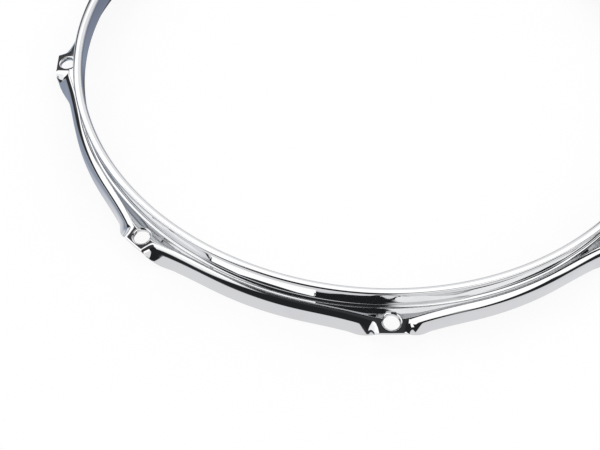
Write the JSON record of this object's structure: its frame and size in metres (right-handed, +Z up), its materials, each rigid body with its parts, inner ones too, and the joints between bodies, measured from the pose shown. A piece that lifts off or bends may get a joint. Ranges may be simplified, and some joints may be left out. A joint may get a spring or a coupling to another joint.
{
  "type": "snare drum hoop",
  "caption": "Round chrome-plated steel drum hoop of pressed sheet with an outward lip, a shelf, a skirt, ears for tension rods and gates for the snare cords.",
  "frame": {"origin": "on the axis of the ring, in the plane of the skirt's free edge that the hoop stands on", "axes": "+Z up along the ring's axis, from the skirt to the lip; +Y to one snare gate and -Y to the other; +X across them; the ears lie 22.5 degrees either side of X and Y"},
  "size_m": [0.378, 0.378, 0.0285],
  "materials": {
    "chrome_plate": "bright mirror chrome over polished steel",
    "plated_weld": "bright chrome over a ground weld, a little duller than the sheet"
  },
  "bodies": {
    "root": {"ear_1": "chrome_plate", "ear_2": "chrome_plate", "ear_3": "chrome_plate", "ear_4": "chrome_plate", "ear_5": "chrome_plate", "ear_6": "chrome_plate", "ear_7": "chrome_plate", "ear_8": "chrome_plate", "plain_span_1": "chrome_plate", "plain_span_2": "chrome_plate", "plain_span_3": "chrome_plate", "plain_span_4": "chrome_plate", "plain_span_5": "chrome_plate", "gate_span_1": "chrome_plate", "gate_span_2": "chrome_plate", "strip_start_span": "chrome_plate", "strip_end_span": "chrome_plate", "butt_weld": "plated_weld"}
  },
  "joints": []
}
